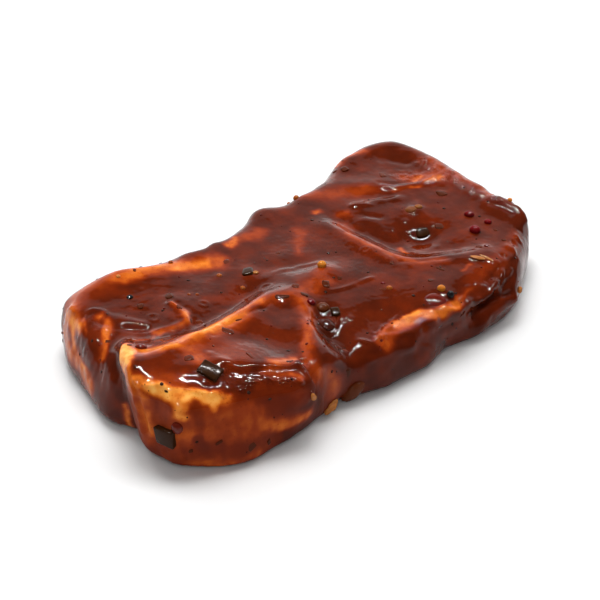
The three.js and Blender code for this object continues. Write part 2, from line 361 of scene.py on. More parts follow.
# The top of the rear lobe lies flatter than the solid has it. It slides on a slant up to the front
# left, so that the outline seen from there stays.
FLAT_PATH = [(-41, 21, 18.1), (-49.4, 18, 18), (-57, 10, 21), (-60, 6, 21.8)]
FLAT_HALF = 9
FLAT_EDGE = 7
FLAT_SLOPE = 0.07
FLAT_PIVOT = (-48.5, 19, 19.3)
SLANT = np.array((-0.516, -0.661, 0.545))
facing = FLAT_SLOPE * front_left + (0, 0, 1)
share = (1 - ease((near(FLAT_PATH) - FLAT_HALF) / FLAT_EDGE)) * ease((normals[:, 2] - 0.3) / 0.5)
slide = share * np.clip((FLAT_PIVOT - points) @ facing / (SLANT @ facing), -6, 4.5)
slide = spread(slide, 60)

# Parts of the outline that the rounding drew in, or that stand out too far: the move in millimetres,
# its reach and the middle line.
SHIFTS = [
    ((-0.1, 1.3, 0.9), 7, [(-64, 24, 14), (-55, 29.6, 15.8), (-44, 30, 16.4)]),
    ((0, 0, -0.1), 5, [(-31.5, 26.1, 17.9), (-24, 22.6, 18.8)]),
    ((0.1, 1.2, 0.8), 7, [(-15.8, 22, 18.4), (-10.5, 22.4, 17.5), (-3.4, 25.1, 17), (4.5, 31, 15)]),
    ((0.2, 1.1, 0.8), 7, [(12.2, 29.9, 17.3), (25.4, 31, 16.9), (33.2, 33, 16)]),
    ((0.2, 0.5, 0.3), 5, [(42.4, 38.6, 15.2), (49, 40.2, 17)]),
    ((-0.4, -0.3, -0.3), 5, [(66.6, 38, 17.8), (69.4, 33, 17.9)]),
    ((0.5, 0.3, 0.2), 5, [(71.4, 24.7, 17.7), (71.4, 12.9, 17.6)]),
    ((1.3, 0.2, 0.5), 5, [(72.5, 1.9, 15.5), (71.5, -12.2, 16.7), (72.6, -14.6, 15)]),
    ((-0.8, 0.6, 0), 7, [(-66, 23, 8), (-69, 18, 5)]),
    ((-0.8, -0.6, 0), 6, [(-74.3, -29.4, 3)]),
    ((0.2, 1.1, 0), 6, [(-46, -48.5, 3), (-38, -48, 3)]),
    ((-0.3, -1.2, 0), 5, [(-24, -43, 2)]),
    ((0, -1.2, 0), 6, [(-2, -42.6, 2), (10, -42.4, 3)]),
    ((-0.3, 2.4, 0), 6, [(23, -42, 2), (34, -42.8, 3)]),
    ((-0.1, 1.5, 0), 5, [(42, -41, 3), (50, -38, 3)]),
]
shares = [np.exp(-((near(path) / reach) ** 2)) for _, reach, path in SHIFTS]
shift = sum(share[:, None] * np.array(move, float) for share, (move, _, _) in zip(shares, SHIFTS))
shift /= np.maximum(sum(shares), 1)[:, None]
shift[:, 2] *= ease(points[:, 2] / 4)  # the foot stays on the ground

# Relief of the meat in millimetres, and the marinade that fills its hollows up to a level.
side_on = ease((0.75 - normals[:, 2]) / 0.4)
lumps = 0.24 * grain(13, 2) + 0.12 * grain(5, 3, points, (1.8, 1, 1)) + 0.04 * grain(2, 4)
end_on = 0.3 + 0.7 * ease((-62 - points[:, 0]) / 6)
fibres = side_on * end_on * 0.28 * grain(1.5, 5, wander(6, 1.2, 6), (1, 1, 7))
swells = side_on * 0.5 * grain(9, 17, points, (1.6, 1.6, 0.8))
swells += side_on * 0.45 * grain(4.2, 21, wander(7, 2, 22), (2.4, 2.4, 0.9))
meat = lumps + fibres + swells
level = spread(lumps, 90) + 0.1 * grain(16, 7) - 0.05
FILM_SOFTNESS = 0.09
film = np.logaddexp(0, (level - meat) / FILM_SOFTNESS) * FILM_SOFTNESS
settle = ease(points[:, 2] / 1.5)  # nothing moves where the slice rests
raised = (meat + film + folds + leans + rises + grainy) * settle * 0.9

# How deep the colour of the marinade is: 0 is bare pale fat, 1 is thick marinade over lean meat.
# Each coat has its depth, half-width, soft edge and path.
COATS = [
    # rear lobe: orange back rim, and the wall at its end
    (0.52, 4.4, 4, [(-64, 22.5, 15.4), (-61.8, 24.9, 16.2), (-57.4, 27.9, 16.2), (-50, 29.5, 16.4),
                    (-44, 28, 17.4)]),
    (0.42, 3.2, 2.4, [(-44.6, 25.4, 18), (-38.4, 25.4, 18.1), (-31, 22.4, 18.5), (-24.6, 18.4, 18.8),
                      (-19, 15.6, 18.2)]),
    (0.32, 1.7, 1.6, [(-40, 26, 18.1), (-33.9, 24.4, 18.2), (-28, 21, 18.6)]),
    (0.26, 1.2, 1.2, [(-30.4, 21.6, 18.5), (-26.3, 19.6, 18.8), (-22, 17, 18.6)]),
    (0.4, 3.4, 2.6, [(-65.6, 22.4, 9), (-68.2, 18, 8), (-70.8, 10, 7.4), (-72.8, 2, 6)]),
    (0.32, 2.4, 1.8, [(-64.4, 22.2, 15), (-66.4, 18, 15), (-67.4, 13.4, 17)]),
    (0.2, 1.1, 1, [(-66.2, 19.6, 15), (-68, 16.4, 12.6), (-70, 11.6, 10.2), (-71.4, 6, 8.8)]),
    (0.4, 1.3, 1.2, [(-66.4, 3.4, 20.8), (-65.4, 6.4, 21.5), (-64.1, 9.8, 21.5)]),
    (0.24, 0.9, 0.8, [(-65.4, 14, 19), (-66.6, 11.4, 18.6), (-68, 8.6, 17.6)]),
    (0.86, 3, 1.8, [(-67.6, 6.4, 19.4), (-70, 3.4, 15.4), (-71.4, -1, 12.4), (-72.8, -6, 10.6),
                    (-73.6, -11, 8)]),
    (0.4, 1.5, 1.3, [(-64.4, 4.8, 21.8), (-66.2, 1.8, 20.4), (-67.8, 0.6, 18.4), (-69.2, -0.8, 16)]),
    (0.3, 0.8, 0.8, [(-66, 3.4, 20.6), (-67.4, 0.8, 19)]),
    (0.32, 0.9, 0.8, [(-72.2, -14.8, 9), (-72.5, -15.4, 4.5), (-72, -15.2, 1.4)]),
    # hook and seam
    (0.3, 1.2, 1, [(-43.4, 3, 20.3), (-43.6, 0.8, 20.3), (-43.9, -2.4, 20.1), (-45.4, -5, 19.5)]),
    (0.45, 1, 1, [(-45.4, -5, 19.5), (-49, -6.3, 19.4), (-52.5, -5.6, 19.5), (-56, -5, 20)]),
    (0.5, 0.9, 0.9, [(-57, -6.6, 20.2), (-62, -6.6, 20.4), (-66, -6.4, 20), (-68, -9.6, 21.8)]),
    # ridge of fat between the lobes, and the corner of the front lobe
    (0.46, 4.4, 3.2, [(-70.6, -12.6, 24), (-64.9, -17.2, 24.7), (-58, -21.2, 25.3), (-50, -19.4, 24.6),
                      (-42, -15.8, 22.6), (-34, -14.2, 22)]),
    (0.25, 2.2, 1.7, [(-65, -16.6, 24.7), (-58, -20.6, 25.3), (-50, -18.8, 24.6), (-42, -15.2, 22.6),
                      (-36, -14, 22.2)]),
    (0.1, 1.3, 1.3, [(-53, -20.2, 25), (-47.6, -17.6, 24.3), (-43, -15.6, 23)]),
    (0.34, 1.5, 1.5, [(-36, -14, 22.2), (-28, -12.4, 21.7), (-21, -12, 21.1)]),
    (1.1, 4, 2.4, [(43.3, -3.8, 14.6)]),
    (0.62, 2.4, 2.4, [(-21, -12, 21.1), (-14.5, -12.4, 21.1), (-7.8, -12, 20.4), (-2, -11, 20),
                      (3, -7.6, 19.4)]),
    (0.62, 2.6, 2.4, [(-6, -13.6, 19.8), (0, -12, 19.6)]),
    (0.14, 3, 1.2, [(-69.4, -11.2, 23.6), (-71.8, -14.4, 24.8), (-73.8, -18.4, 25)]),
    (0.05, 1.8, 1.2, [(-71.4, -12.8, 24.2), (-73.2, -16.4, 24.8), (-74.4, -19.6, 24.6)]),
    (0.36, 2.4, 1.5, [(-74.6, -21, 24.2), (-76, -25, 21.8), (-76, -28, 17), (-75.4, -29, 9),
                      (-74.6, -28.8, 3)]),
    (0.88, 2.9, 1.1, [(-71.2, -24.8, 25), (-66, -24.6, 25.2), (-61.2, -23.9, 25)]),
    (0.46, 2.6, 2.2, [(-54.6, -22.6, 24.6), (-56, -25, 24.6), (-57.4, -28.8, 24.6)]),
    (0.72, 5, 4, [(-50, -25, 23.8), (-45, -27.6, 22.6), (-50, -31.4, 23.8)]),
    (0.9, 4.6, 1.8, [(-31.4, -23.4, 20), (-29, -28.4, 19.4)]),
    # front lobe: the crest, the pale band under it and the wall
    (0.56, 6.4, 4, [(-75, -29, 14), (-72.6, -36, 14), (-67, -41.6, 13.4), (-60, -44, 13), (-52, -47, 12)]),
    (0.74, 3.8, 3, [(-74.4, -30, 3), (-69, -40.6, 3.4), (-62, -45, 3), (-55, -48, 3), (-48, -48.6, 2)]),
    (0.48, 1.2, 1.2, [(-70.2, -40, 2.6), (-62.6, -45, 2), (-53.3, -48.2, 1.5)]),
    (0.34, 1.7, 1.4, [(-75.8, -28.4, 19.6), (-75.5, -29.4, 15.6), (-74.9, -30.4, 11)]),
    (0.66, 1.8, 1.5, [(-72.9, -32.8, 19.8), (-73, -33.8, 17.4), (-73.1, -35, 14.4)]),
    (0.62, 2.8, 2, [(-71.3, -28.4, 24), (-67.4, -30.6, 24.1), (-64.4, -33.4, 23.5)]),
    (0.92, 2.5, 1.6, [(-61.8, -34.8, 23), (-58.1, -36.2, 22.5), (-54.5, -37, 22.1), (-50, -36.6, 22.4)]),
    (0.28, 2.1, 1.3, [(-75.4, -24.6, 23.4), (-72.9, -29.6, 22.8), (-70, -33.6, 22.2), (-66.4, -37, 21.4),
                      (-61.6, -39.6, 20.6), (-57.4, -41.2, 19.9)]),
    (0.05, 1.5, 1.2, [(-73.8, -29, 22.8), (-71.8, -31.8, 22.7), (-68.6, -35.8, 21.9), (-64.8, -38, 21.4),
                      (-60.6, -39.8, 20.6)]),
    (0.16, 1.8, 1.3, [(-69.2, -35.3, 22.4), (-70.2, -38, 20.6), (-70.6, -39.2, 18)]),
    (0.14, 1.4, 1.2, [(-62.2, -38.9, 21.4), (-62.6, -41, 19.4)]),
    (0.74, 1.3, 1, [(-66.4, -39.2, 20.4), (-66.8, -40.8, 18.4), (-67.2, -41.5, 15), (-67.4, -41.8, 11)]),
    (0.62, 0.8, 0.8, [(-64.2, -40.6, 19.4), (-64, -41.8, 16.8)]),
    (0.84, 2.1, 1.4, [(-47.6, -43.4, 18.8), (-44.6, -45.5, 17.5), (-41, -47.4, 16.4), (-37.2, -48.2, 15)]),
    (0.44, 2.1, 1.4, [(-49.4, -47.2, 10.4), (-46, -48.1, 8.8), (-41, -48.6, 8.6), (-35.4, -48.2, 7.6)]),
    (0.86, 1.5, 1, [(-67.6, -41.8, 10), (-66.4, -42.6, 7.2)]),
    (0.62, 2, 1.6, [(-43, -40.2, 20.8), (-38, -42.8, 19.7)]),
    (0.5, 1.4, 1.4, [(-37, -43.6, 19.4), (-34.8, -45.4, 18.2)]),
    (0.95, 2.6, 1.6, [(-60, -34.6, 23.4), (-56.4, -35.4, 23), (-54.6, -33.4, 23.6)]),
    # orange fat beside the notch
    (0.42, 2, 1.4, [(-39, -37.4, 21.2), (-33, -37.8, 20)]),
    (0.52, 2.6, 1.8, [(-13.6, -17, 19.4), (-15, -20.6, 19.4)]),
    (0.56, 2.4, 1.8, [(-15.4, -23.2, 19.4), (-17.2, -25.6, 19.6), (-21.8, -30.8, 20), (-26, -36.4, 19.8),
                      (-29.4, -40, 19.3)]),
    (0.5, 1.4, 1.4, [(-19.4, -28.4, 19.8), (-24.6, -34.6, 19.9)]),
    (0.54, 3.4, 2.6, [(-29, -43.6, 16), (-25.5, -43.1, 12.4), (-22, -42.8, 8.6)]),
    (1.15, 3.8, 2, [(-9, -22.6, 17.4), (-12.6, -28, 15.4), (-15.6, -34, 14.6), (-15.8, -37, 13.6)]),
    # edge of fat along the front of the broad end
    (0.96, 5, 3, [(-6, -27, 16.4), (-3, -33, 15.6), (-8, -37.6, 15)]),
    (0.52, 2.4, 1.2, [(-2.8, -40.8, 14.2), (0.7, -38.8, 14.6), (5, -37.4, 14.8)]),
    (0.28, 1.8, 1.1, [(6, -37.2, 14.8), (11.5, -37.4, 15.2), (15, -38.8, 14.4)]),
    (0.14, 0.9, 0.8, [(8.6, -36.5, 15), (12.2, -37.4, 15)]),
    (0.32, 1.6, 1.1, [(15, -39.2, 14.2), (22.1, -38.8, 14.1), (27.4, -38.1, 14.2)]),
    (0.56, 1, 1, [(27.4, -38, 14.2), (32.2, -36.9, 14.5), (37, -36, 14.8)]),
    (0.74, 2, 2, [(35.4, -34, 15.6), (45.2, -31.5, 16), (57.3, -26, 15.6), (64, -22, 14.6)]),
    (0.55, 0.8, 0.9, [(36.2, -29.6, 16.6), (39.8, -29, 16.7)]),
    (1.2, 1.7, 0.9, [(32.6, -39.8, 9.8), (36, -38.8, 10.3), (39.6, -38.2, 10.6)]),
    (0.55, 0.4, 0.5, [(34, -39.6, 9.6), (36, -39, 10.8), (38.4, -38.6, 10)]),
    # broad end
    (0.62, 2.4, 2.4, [(70, 26, 17.6), (70, 17, 17.8), (70.5, 8, 17.4), (70.8, -3, 17)]),
    (0.58, 3.6, 3, [(58, 22, 17), (63, 18, 17.3), (68, 14, 17.6)]),
    (0.42, 0.7, 0.8, [(49.9, 17.6, 17.3), (54, 16.6, 17.6), (58.2, 15.3, 17.7)]),
    (0.32, 0.9, 0.9, [(60.4, 15.8, 17.6), (64, 15.2, 17.6), (66, 15, 17.6)]),
    (0.34, 0.9, 1, [(58.4, 19.4, 17.2), (61.6, 20.4, 17)]),
    (0.45, 1.6, 1.5, [(47, 41.6, 15.6), (51.6, 42.6, 17.2), (58, 42, 17.6)]),
    (0.62, 2.8, 2.8, [(26, 31, 16.2), (32.5, 27.2, 16.8), (37.1, 25.7, 16.9), (43, 23.4, 17.2)]),
    (0.62, 1.6, 1.8, [(11.5, 16.5, 17.4), (8, 11.4, 17.5), (4, 6.4, 17.7)]),
    (0.48, 1.2, 0.9, [(22, 22.8, 17), (23.6, 21.8, 17)]),
    (0.62, 1.6, 1.4, [(28.6, 17.2, 16.6), (30.6, 16.4, 16.6)]),
    (0.66, 2.4, 2, [(24.4, 13, 16.6), (22.6, 4, 17.8), (23.2, -4, 18), (25.6, -12, 17.7), (28, -18, 17.6),
                    (34.7, -21.3, 17.5)]),
    (0.5, 0.8, 0.8, [(22.4, 6, 17.8), (22.4, -2, 18), (24.6, -9, 17.8), (26.4, -15.6, 17.7),
                     (30, -19.4, 17.5)]),
    (0.4, 0.9, 0.9, [(32, -6.6, 14.9), (31.4, -10, 15.2)]),
    (0.36, 1.8, 1.4, [(-11, 19.6, 17.6), (-6.4, 21.4, 17.5)]),
    (0.55, 2, 1.8, [(-2.9, 20.8, 17.5), (2, 21.4, 17.4)]),
    (0.8, 1.6, 1.6, [(-33.6, 1.6, 18.8), (-27, -1.6, 18), (-23, -1.6, 17.5)]),
]

# The coats are laid with wandering edges. Where the marinade is thinner, on the high places of the meat,
# more fat shows; the hollows are darkened, partly for the thick marinade that lies in them and partly as
# painted shade.
drawn = wander(1.4, 0.35, 8, wander(3.4, 0.9, 23, wander(8, 1.3, 9)))
depth = 0.98 + 0.14 * grain(9, 10) + 0.12 * grain(3.4, 11)
# Painted shade in part: the colour darkens in the hollows of the meat and lightens on its high places.
thin_film_and_hollow_shade = np.clip(meat - level, -0.6, 0.6)
for target, half, edge, path in COATS:
    cover = 1 - ease((distance(path, drawn) - half + edge) / (2 * edge))
    depth += cover * (target - depth)
streaks = side_on * grain(1.7, 12, wander(6, 1.2, 6), (1, 1, 9))
blots = grain(2.6, 18, wander(3, 1, 19)) + 0.6 * grain(1.2, 20)
depth = depth - 0.16 * thin_film_and_hollow_shade + (0.12 * streaks + 0.12 * blots) * (1.15 - depth)
underside = ease((0.15 - normals[:, 2]) / 0.5) * ease((1.5 - points[:, 2]) / 1.5)
depth += underside * (0.8 - depth)

points += normals * raised[:, None]
points[:, 2] = np.maximum(points[:, 2], 0)
anchors = points.copy()  # places on the slice are given as they are before the slide
points += SLANT * slide[:, None] + shift
steak.data.vertices.foreach_set("co", (points * MM).ravel())
steak.data.attributes.new("coat_depth", "FLOAT", "POINT").data.foreach_set("value", depth)
lobe_wall = ease((-24 - points[:, 0]) / 8) * ease((-12 - points[:, 1]) / 10)
lobe_wall *= ease((23 - points[:, 2]) / 8) * ease((0.85 - normals[:, 2]) / 0.4)
dull = 2 * lobe_wall + 0.4 * side_on
steak.data.attributes.new("broken", "FLOAT", "POINT").data.foreach_set("value", crumbled)
steak.data.attributes.new("dull", "FLOAT", "POINT").data.foreach_set("value", dull)
steak.data.update()
outward = np.empty(count * 3)
steak.data.vertex_normals.foreach_get("vector", outward)
outward = outward.reshape(-1, 3)


class Wire:
    """The output of a shader node. Arithmetic on it adds Math nodes to the same material."""

    def __init__(self, tree, socket=None):
        self.tree = tree
        self.socket = socket

    def feed(self, socket, value):
        if isinstance(value, Wire):
            self.tree.links.new(value.socket, socket)
        else:
            socket.default_value = value

    def node(self, kind, settings=None, values=None, out=0):
        """Adds a node: first its settings, then the values or links of its sockets."""
        made = self.tree.nodes.new(kind)
        for name, setting in (settings or {}).items():
            if name == "stops":
                stops = made.color_ramp.elements
                while len(stops) < len(setting):
                    stops.new(1)
                for stop, (place, colour) in zip(stops, setting):
                    stop.position = place
                    stop.color = (*colour, 1)
            else:
                setattr(made, name, setting)
        for name, value in (values or {}).items():
            self.feed(made.inputs[name], value)
        return Wire(self.tree, made.outputs[out])

    def maths(self, operation, first, second):
        return self.node("ShaderNodeMath", {"operation": operation}, {0: first, 1: second})

    def __add__(self, other):
        return self.maths("ADD", self, other)

    def __sub__(self, other):
        return self.maths("SUBTRACT", self, other)

    def __rsub__(self, other):
        return self.maths("SUBTRACT", other, self)

    def __mul__(self, other):
        return self.maths("MULTIPLY", self, other)

    def __truediv__(self, other):
        return self.maths("DIVIDE", self, other)

    __radd__ = __add__
    __rmul__ = __mul__

    def above(self, low, high):
        """0 below low, 1 above high, and a smooth step between them."""
        return self.node(
            "ShaderNodeMapRange", {"interpolation_type": "SMOOTHSTEP"},
            {"Value": self, "From Min": low, "From Max": high},
        )


def finish(name, piece):
    """Starts a material on a piece and returns its shader's sockets and a wire to build on."""
    material = bpy.data.materials.new(name)
    material.use_nodes = True
    piece.data.materials.clear()
    piece.data.materials.append(material)
    tree = material.node_tree
    return tree.nodes["Principled BSDF"].inputs, Wire(tree)


def mottle(wire, size, detail=2.0):
    """Noise in object space from 0 to 1, with lumps of that size in millimetres."""
    place = wire.node("ShaderNodeTexCoord", out=3)
    return wire.node(
        "ShaderNodeTexNoise", {}, {"Vector": place, "Scale": 1 / (size * MM), "Detail": detail}
    )


# Thin marinade over fat is cream to orange, and thick marinade is a dark red-brown.
THICKEST = 1.25
MARINADE = [
    (0.0, (0.88, 0.43, 0.1)),
    (0.12, (0.8, 0.29, 0.045)),
    (0.27, (0.62, 0.15, 0.016)),
    (0.42, (0.42, 0.072, 0.007)),
    (0.55, (0.27, 0.034, 0.004)),
    (0.75, (0.15, 0.0155, 0.002)),
    (1.0, (0.076, 0.009, 0.0022)),
    (THICKEST, (0.034, 0.005, 0.0014)),
]
shader, wire = finish("marinated_meat", steak)
# The coat depth also carries the painted shade of the hollows.
coat = wire.node("ShaderNodeAttribute", {"attribute_name": "coat_depth"}, out=2)
flecks = mottle(wire, 0.55).above(0.6, 0.72)
coat = coat + (mottle(wire, 2.2, 4.0) - 0.5) * 0.12 + flecks * (1.15 - coat) * 0.12
stops = [(deep / THICKEST, colour) for deep, colour in MARINADE]
wire.feed(
    shader["Base Color"],
    wire.node("ShaderNodeValToRGB", {"stops": stops}, {"Fac": coat / THICKEST}),
)
dull = wire.node("ShaderNodeAttribute", {"attribute_name": "dull"}, out=2)
wire.feed(shader["Roughness"], 0.03 + mottle(wire, 3) * 0.06 + dull * 0.22)
shader["IOR"].default_value = 1.2
shader["Subsurface Weight"].default_value = 0.12
shader["Subsurface Radius"].default_value = (1, 0.35, 0.12)
shader["Subsurface Scale"].default_value = 1.2 * MM
sparkle = wire.node("ShaderNodeAttribute", {"attribute_name": "broken"}, out=2)
height = mottle(wire, 1.6, 0.0) * 0.06 + mottle(wire, 0.7, 2.0) * sparkle * 0.5
wire.feed(shader["Normal"], wire.node("ShaderNodeBump", {}, {"Height": height, "Distance": MM}))
for polygon in steak.data.polygons:
    polygon.use_smooth = True
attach(steak, "root")
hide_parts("steak")

# Flakes of dried leek and sweet pepper. Square-cut scraps, soaked dark, that lie in the marinade; the
# two large ones stand out of it, on the front lobe and on its end wall.
RIGHT = Vector((0.788, -0.616, 0))
dice = random.Random(7)


def seat(place, turn, lift=0.0):
    """A frame on the slice beside a place in millimetres: z points out, x to the front right."""
    gap = np.linalg.norm(anchors - place, axis=1)
    nearest = gap.argmin()
    out = Vector(outward[gap < gap[nearest] + 1].mean(0)).normalized()
    side = (RIGHT - out * RIGHT.dot(out)).normalized()
    stand = Matrix((side, out.cross(side), out)).transposed().to_4x4()
    stand.translation = (Vector(points[nearest]) + out * lift) * MM
    return stand @ Matrix.Rotation(turn, 4, "Z")


def handful():
    """An empty mesh for the pieces of one kind, whose points carry a shade."""
    bm = bmesh.new()
    bm.verts.layers.float.new("shade")
    return bm


def tint(bm, verts, value):
    """Marks some points with their share of the second colour."""
    for vert in verts:
        vert[bm.verts.layers.float["shade"]] = value


def two_tone(wire, plain, covered):
    """The colour of a topping, from bare to covered by its shade."""
    shade = wire.node("ShaderNodeAttribute", {"attribute_name": "shade"}, out=2)
    return wire.node(
        "ShaderNodeMix", {"data_type": "RGBA"},
        {"Factor": shade, 6: (*plain, 1), 7: (*covered, 1)}, out=2,
    )


def join(name, bm):
    """Turns the finished pieces of one kind into one object that rides with the slice."""
    bmesh.ops.recalc_face_normals(bm, faces=bm.faces)
    mesh = bpy.data.meshes.new(name)
    bm.to_mesh(mesh)
    bm.free()
    for polygon in mesh.polygons:
        polygon.use_smooth = True
    piece = bpy.data.objects.new(name, mesh)
    scene.collection.objects.link(piece)
    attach(piece, "root")
    return piece


# Place, turn, length, width, thickness and how far it stands out.
CHIPS = [
    ((-57.2, -33.8, 23.8), -0.5, 6, 4.6, 1.6, 0.7),
    ((-72.4, -35.4, 10.8), 0.1, 5.8, 5.4, 2.2, 1.1),
]
FLAKES = [
    ((-14.3, 6.5, 18.2), 0.1, 3.5, 4.6, 1, 0.35),
    ((-41.1, 7.9, 19.6), 0.3, 2, 2.6, 0.6, 0.08),
    ((-51.9, 7.1, 21), 0, 1.9, 2.2, 0.6, 0.08),
    ((-58.9, -26.8, 24.7), 0.2, 2.2, 2.4, 0.6, 0.18),
    ((-17, -13.3, 20.7), 0.25, 4.2, 1.5, 0.5, 0.18),
    ((-10.6, -14.9, 20.1), 0.1, 2.1, 1.3, 0.5, 0.18),
    ((-2, -13.7, 19.3), 0.1, 2.4, 2.6, 0.8, 0.18),
    ((-10.7, -10.4, 20.9), 0.1, 2.2, 1.7, 0.5, 0.18),
    ((-16.4, 13.9, 18.1), 0.3, 2.2, 2.4, 0.5, 0.08),
    ((-43.8, -5.6, 18.9), 0.1, 2.6, 2.6, 0.8, 0.08),
    ((-41.6, -7, 18.8), 0.6, 1.8, 2, 0.6, 0.08),
    ((-43.2, 0.5, 20.2), 0.2, 1.4, 1.6, 0.5, 0.18),
    ((-40.9, -19.8, 22.3), 0.2, 3, 2.2, 0.5, 0.08),
    ((-29.2, -25.7, 19.2), 0.2, 1.6, 1.8, 0.5, 0.08),
    ((-43.3, -32.8, 22.4), -0.95, 3.6, 1.1, 0.5, 0.18),
    ((-67.3, 0.3, 19.2), 0, 1.7, 1.3, 0.5, 0.18),
    ((-65.4, 25.7, 4.9), 0, 1, 1.5, 0.5, 0.18),
    ((-59.7, 15, 19.7), 0, 1.3, 1.3, 0.4, 0.08),
    ((-40.1, 25.9, 18.2), 0, 1, 1.2, 0.4, 0.18),
    ((-34.3, -16.5, 22.1), 0.5, 3, 0.9, 0.4, 0.08),
    ((-35.1, -39.2, 20.4), 0.1, 1.6, 1, 0.4, 0.18),
    ((-7, -24.2, 17.2), 0.3, 2.8, 3, 1.2, 0.85),
    ((-16.8, -42.4, 10.3), 0.2, 1.8, 2.8, 0.7, 0.18),
    ((-14, -37.6, 14.2), 0.5, 2.2, 2, 0.7, 0.18),
    ((44.3, 39.5, 15.5), 0.2, 1.7, 2, 0.6, 0.18),
    ((46.2, 36.8, 16.8), 0.5, 2.2, 2.6, 0.6, 0.08),
    ((53.3, 27.5, 16.7), 0.2, 2.1, 2.8, 0.5, 0.08),
    ((43, -4.1, 14.5), 0.2, 3.6, 3.2, 1, 0.5),
    ((39.2, -1.7, 14.9), 0.2, 1.1, 1.4, 0.4, 0.18),
    ((60.6, 7.9, 16.6), 0.4, 2.8, 2.4, 0.6, 0.08),
    ((48.6, -5, 15.4), 0, 3, 2.2, 0.5, 0.08),
    ((48.9, -22.1, 16.6), 0, 1.8, 1.6, 0.4, 0.08),
    ((31.8, -24.7, 16.9), -0.4, 2.8, 1.4, 0.4, 0.08),
    ((11.4, -23.3, 17), 0.1, 2.2, 1, 0.4, 0.08),
    ((-48.2, -48.5, 4.3), 0.4, 1.5, 2, 0.6, 0.18),
    ((-62.7, -44.5, 8.7), 0.5, 2.3, 0.9, 0.4, 0.18),
    ((-54.6, -47.8, 5.6), 0.6, 2.6, 2.8, 0.5, 0.08),
    ((-69.1, -40.7, 7.1), 0.2, 1.2, 1, 0.4, 0.18),
    ((4.1, -12.8, 18.6), 0.2, 1.4, 1.2, 0.4, 0.18),
    ((22, -14.3, 17.6), 0.1, 1.1, 1, 0.4, 0.18),
    ((25, -28.1, 16.8), 0.3, 1.6, 1.2, 0.4, 0.08),
    ((60.2, -17.1, 15.5), 0.2, 1.2, 1, 0.4, 0.18),
    ((58.2, -22.9, 15.5), 0.2, 1.2, 1, 0.4, 0.18),
    ((60.1, -10.5, 15.9), 0.2, 2.2, 2.2, 0.5, 0.08),
    ((-67.4, -11.3, 24.2), 0.3, 1.4, 1, 0.4, 0.18),
    ((-73.2, -22.3, 25.8), 0.3, 1, 1.2, 0.4, 0.18),
    ((-1.6, 9.4, 17.7), 0.3, 1.2, 1.4, 0.4, 0.08),
]
CLEAR = 0.9  # a flake thicker than this stands clear of the marinade and keeps its own colour


def blocks(bm, rows, uneven):
    """Adds a block with uneven corners for each row and gives back their edges."""
    edges = []
    for place, turn, length, width, thick, proud in rows:
        stand = seat(place, turn, proud - thick / 2) @ Matrix.Diagonal((length, width, thick, 1))
        corners = bmesh.ops.create_cube(bm, size=MM, matrix=stand)["verts"]
        tint(bm, corners, 0 if thick > CLEAR else 0.4 + 0.6 * dice.random())
        for vert in corners:
            push = Vector((dice.uniform(-1, 1), dice.uniform(-1, 1), dice.uniform(-0.5, 0.5)))
            push *= uneven * min(length, width) * MM
            bmesh.ops.translate(bm, verts=[vert], vec=push)
        edges += dict.fromkeys(e for v in corners for e in v.link_edges)
    return edges


bm = handful()
bmesh.ops.subdivide_edges(bm, edges=blocks(bm, FLAKES, 0.24), cuts=3, use_grid_fill=True)
for _ in range(3):
    bmesh.ops.smooth_vert(
        bm, verts=bm.verts, factor=0.5, use_axis_x=True, use_axis_y=True, use_axis_z=True
    )
bmesh.ops.bevel(
    bm, geom=blocks(bm, CHIPS, 0.05), offset=0.4 * MM, offset_type="OFFSET",
    segments=3, profile=0.5, affect="EDGES", material=-1,
)
flakes = join("leek_flakes", bm)
shader, wire = finish("soaked_leek", flakes)
wire.feed(shader["Base Color"], two_tone(wire, (0.03, 0.01, 0.003), (0.1, 0.015, 0.004)))
wire.feed(shader["Roughness"], 0.08 + mottle(wire, 0.8) * 0.1)
shader["IOR"].default_value = 1.16

# Ground pepper and spice. Dark grains of 0.3 to 1.4 mm, strewn all over the top and the walls and half
# sunk in the marinade that holds them.
GRAINS = 120
bm = handful()
top_points = np.flatnonzero((points[:, 2] > 2) & (normals[:, 2] > -0.2))
for _ in range(GRAINS):
    place = anchors[top_points[dice.randrange(len(top_points))]]
    size = dice.choice((0.2, 0.25, 0.3, 0.4, 0.5))
    shape = (size * dice.uniform(0.7, 1.4), size * dice.uniform(0.7, 1.4), 0.4 * size, 1)
    stand = seat(place, dice.uniform(0, 3)) @ Matrix.Diagonal(shape)
    bmesh.ops.create_icosphere(bm, subdivisions=1, radius=MM, matrix=stand)
specks = join("ground_pepper", bm)
shader, wire = finish("ground_pepper", specks)
shader["Base Color"].default_value = (0.03, 0.011, 0.006, 1)
shader["Roughness"].default_value = 0.15
shader["IOR"].default_value = 1.18

# Mustard seeds. Round, smooth, yellow seeds, stuck in the marinade. The ones that it covers look
# orange-brown, and most of them sit deeper.
SEEDS = [  # place, width, lift, how far covered
    ((2.7, -5.9, 18.8), 2.7, 0.35, 0.1),
    ((24.6, -33.3, 16.6), 2.5, 0, 0.35),
    ((12.9, -23.8, 17), 2.1, -0.35, 0.85),
    ((-22.9, 9.4, 18.5), 1.8, -0.3, 0.85),
    ((-20.4, 0.9, 17.7), 1.7, -0.3, 0.85),
    ((-35.9, 5.6, 19.4), 1.2, -0.2, 1),
    ((-34.3, 4.4, 19.3), 1.2, -0.2, 1),
    ((23.3, 31.8, 16.2), 1.9, 0.1, 0.7),
    ((20.6, 31.6, 14.6), 1.2, 0, 0.8),
    ((71.6, -9.2, 16.8), 1.5, 0.3, 0.2),
    ((-29.4, 23.8, 17.6), 1.4, 0.1, 0.9),
]


def ball(bm, place, turn, sides, lift, segments, rings):
    """Adds a ball of that length, width and height, seated on the slice, and gives back its points."""
    stand = seat(place, turn, lift) @ Matrix.Diagonal((*(side / 2 for side in sides), 1))
    return bmesh.ops.create_uvsphere(
        bm, u_segments=segments, v_segments=rings, radius=MM, matrix=stand
    )["verts"]


